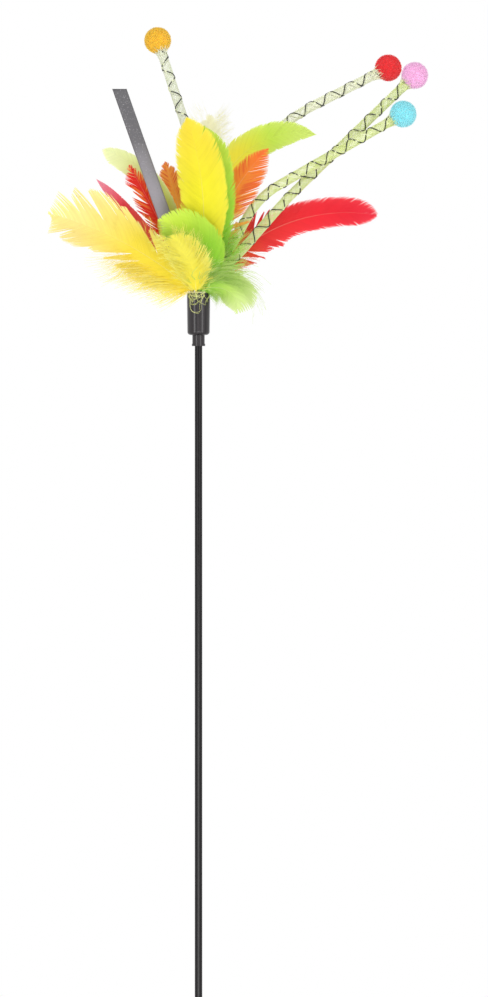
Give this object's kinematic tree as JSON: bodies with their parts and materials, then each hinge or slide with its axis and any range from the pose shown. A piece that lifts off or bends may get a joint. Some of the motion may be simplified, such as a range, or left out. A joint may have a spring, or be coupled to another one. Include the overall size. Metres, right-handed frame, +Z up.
{
  "type": "cat teaser wand",
  "caption": "Cat teaser wand: a slim straight rod with a cup ferrule that holds a bouquet of dyed feathers, a film ribbon and springy mesh arms tipped with pompoms.",
  "frame": {"origin": "centre of the grip cap's round wall, on the rod's axis", "axes": "+Z up the rod to the bouquet, +X to the right and -Y towards the viewer in the pictured view"},
  "size_m": [0.2021, 0.1394, 0.5831],
  "materials": {
    "rod": "gloss black",
    "grip_cap": "matt black",
    "ferrule": "gloss black, moulded",
    "glue": "translucent hot-melt",
    "film": "metallised grey film, speckled",
    "mesh_pale": "open mint-white mesh with dark crossing threads",
    "mesh_lime": "open yellow-green mesh with dark crossing threads",
    "pompom_yellow": "fuzzy",
    "pompom_red": "fuzzy",
    "pompom_blue": "fuzzy",
    "pompom_pink": "fuzzy",
    "feather_yellow": "dyed feather barbs",
    "feather_lime": "dyed feather barbs",
    "feather_red": "dyed feather barbs",
    "feather_orange": "dyed feather barbs",
    "feather_cream": "dyed feather down"
  },
  "bodies": {
    "handle": {"rod": "rod", "grip_cap": "grip_cap", "ferrule": "ferrule", "glue_plug": "glue"},
    "feather_yellow_front": {"feather_yellow_front": "feather_yellow"},
    "feather_lime_low": {"feather_lime_low": "feather_lime"},
    "feather_lime_front": {"feather_lime_front": "feather_lime"},
    "feather_yellow_left": {"feather_yellow_left": "feather_yellow"},
    "feather_yellow_centre": {"feather_yellow_centre": "feather_yellow"},
    "feather_lime_centre": {"feather_lime_centre": "feather_lime"},
    "feather_orange_right": {"feather_orange_right": "feather_orange"},
    "feather_red_left": {"feather_red_left": "feather_red"},
    "feather_red_right": {"feather_red_right": "feather_red"},
    "feather_lime_left": {"feather_lime_left": "feather_lime"},
    "feather_orange_centre": {"feather_orange_centre": "feather_orange"},
    "feather_lime_right": {"feather_lime_right": "feather_lime"},
    "feather_red_tip": {"feather_red_tip": "feather_red"},
    "feather_cream_back": {"feather_cream_back": "feather_cream"},
    "arm_yellow": {"sleeve_yellow": "mesh_pale", "pompom_yellow": "pompom_yellow", "glue_dab_yellow": "glue"},
    "arm_red": {"sleeve_red": "mesh_lime", "pompom_red": "pompom_red", "glue_dab_red": "glue"},
    "arm_blue": {"sleeve_blue": "mesh_lime", "pompom_blue": "pompom_blue", "glue_dab_blue": "glue"},
    "arm_pink": {"sleeve_pink": "mesh_lime", "pompom_pink": "pompom_pink", "glue_dab_pink": "glue"},
    "ribbon": {"ribbon": "film"}
  },
  "joints": [
    {"name": "feather_yellow_front_flex", "type": "hinge", "parent": "handle", "child": "feather_yellow_front", "pos_m": [-0.00125, -0.00394, 0.42095], "axis": [0, -0.7071, -0.7071], "range_deg": [-8, 8], "stiffness_Nm_per_rad": 0.01},
    {"name": "feather_lime_low_flex", "type": "hinge", "parent": "handle", "child": "feather_lime_low", "pos_m": [0.00187, -0.00365, 0.42095], "axis": [0, -0.7986, -0.6018], "range_deg": [-4, 8], "stiffness_Nm_per_rad": 0.01},
    {"name": "feather_lime_front_flex", "type": "hinge", "parent": "handle", "child": "feather_lime_front", "pos_m": [0, -0.00282, 0.42095], "axis": [0, -0.788, -0.6157], "range_deg": [-8, 8], "stiffness_Nm_per_rad": 0.01},
    {"name": "feather_yellow_left_flex", "type": "hinge", "parent": "handle", "child": "feather_yellow_left", "pos_m": [-0.00274, -0.00291, 0.42095], "axis": [0, -0.9397, -0.342], "range_deg": [-8, 8], "stiffness_Nm_per_rad": 0.01},
    {"name": "feather_yellow_centre_flex", "type": "hinge", "parent": "handle", "child": "feather_yellow_centre", "pos_m": [-0.00116, -0.00125, 0.42095], "axis": [0, -0.8572, -0.515], "range_deg": [-8, 8], "stiffness_Nm_per_rad": 0.01},
    {"name": "feather_lime_centre_flex", "type": "hinge", "parent": "handle", "child": "feather_lime_centre", "pos_m": [0.00083, -0.00066, 0.42095], "axis": [0, -0.9135, -0.4067], "range_deg": [-5, 8], "stiffness_Nm_per_rad": 0.01},
    {"name": "feather_orange_right_flex", "type": "hinge", "parent": "handle", "child": "feather_orange_right", "pos_m": [0.00008, 0.00075, 0.42095], "axis": [0, -0.9511, -0.309], "range_deg": [-3, 8], "stiffness_Nm_per_rad": 0.01},
    {"name": "feather_red_left_flex", "type": "hinge", "parent": "handle", "child": "feather_red_left", "pos_m": [-0.00403, 0.00025, 0.42095], "axis": [0, -1, 0], "range_deg": [-8, 8], "stiffness_Nm_per_rad": 0.01},
    {"name": "feather_red_right_flex", "type": "hinge", "parent": "handle", "child": "feather_red_right", "pos_m": [0.00332, 0.00232, 0.42095], "axis": [0, -0.9563, 0.2924], "range_deg": [-8, 8], "stiffness_Nm_per_rad": 0.01},
    {"name": "feather_lime_left_flex", "type": "hinge", "parent": "handle", "child": "feather_lime_left", "pos_m": [-0.00349, 0.00183, 0.42095], "axis": [0, -0.9903, 0.1392], "range_deg": [-5, 9], "stiffness_Nm_per_rad": 0.01},
    {"name": "feather_orange_centre_flex", "type": "hinge", "parent": "handle", "child": "feather_orange_centre", "pos_m": [-0.00108, 0.00291, 0.42095], "axis": [0, -0.8829, 0.4695], "range_deg": [-3, 8], "stiffness_Nm_per_rad": 0.01},
    {"name": "feather_lime_right_flex", "type": "hinge", "parent": "handle", "child": "feather_lime_right", "pos_m": [0.00191, 0.00104, 0.42095], "axis": [0, -0.9848, 0.1736], "range_deg": [-5, 4], "stiffness_Nm_per_rad": 0.01},
    {"name": "feather_red_tip_flex", "type": "hinge", "parent": "handle", "child": "feather_red_tip", "pos_m": [-0.00257, 0.00324, 0.42095], "axis": [0, -0.9563, 0.2924], "range_deg": [-8, 8], "stiffness_Nm_per_rad": 0.01},
    {"name": "feather_cream_back_flex", "type": "hinge", "parent": "handle", "child": "feather_cream_back", "pos_m": [0.00021, 0.00415, 0.42095], "axis": [0, -0.809, 0.5878], "range_deg": [-8, 8], "stiffness_Nm_per_rad": 0.01},
    {"name": "arm_yellow_flex", "type": "hinge", "parent": "handle", "child": "arm_yellow", "pos_m": [0.00054, 0.00241, 0.42095], "axis": [0, -0.9613, 0.2756], "range_deg": [-7, 8], "stiffness_Nm_per_rad": 0.05},
    {"name": "arm_red_flex", "type": "hinge", "parent": "handle", "child": "arm_red", "pos_m": [0.00195, 0.00357, 0.42095], "axis": [0, -0.9135, 0.4067], "range_deg": [-12, 5], "stiffness_Nm_per_rad": 0.05},
    {"name": "arm_blue_flex", "type": "hinge", "parent": "handle", "child": "arm_blue", "pos_m": [0.00386, -0.00125, 0.42095], "axis": [0, -0.9903, -0.1392], "range_deg": [-14, 4], "stiffness_Nm_per_rad": 0.05},
    {"name": "arm_pink_flex", "type": "hinge", "parent": "handle", "child": "arm_pink", "pos_m": [0.00403, 0.00058, 0.42095], "axis": [0, -0.9994, 0.0349], "range_deg": [-9, 8], "stiffness_Nm_per_rad": 0.05},
    {"name": "ribbon_flex", "type": "hinge", "parent": "handle", "child": "ribbon", "pos_m": [-0.00382, -0.00149, 0.42095], "axis": [0, -0.9925, -0.1219], "range_deg": [-6, 14], "stiffness_Nm_per_rad": 0.01}
  ]
}
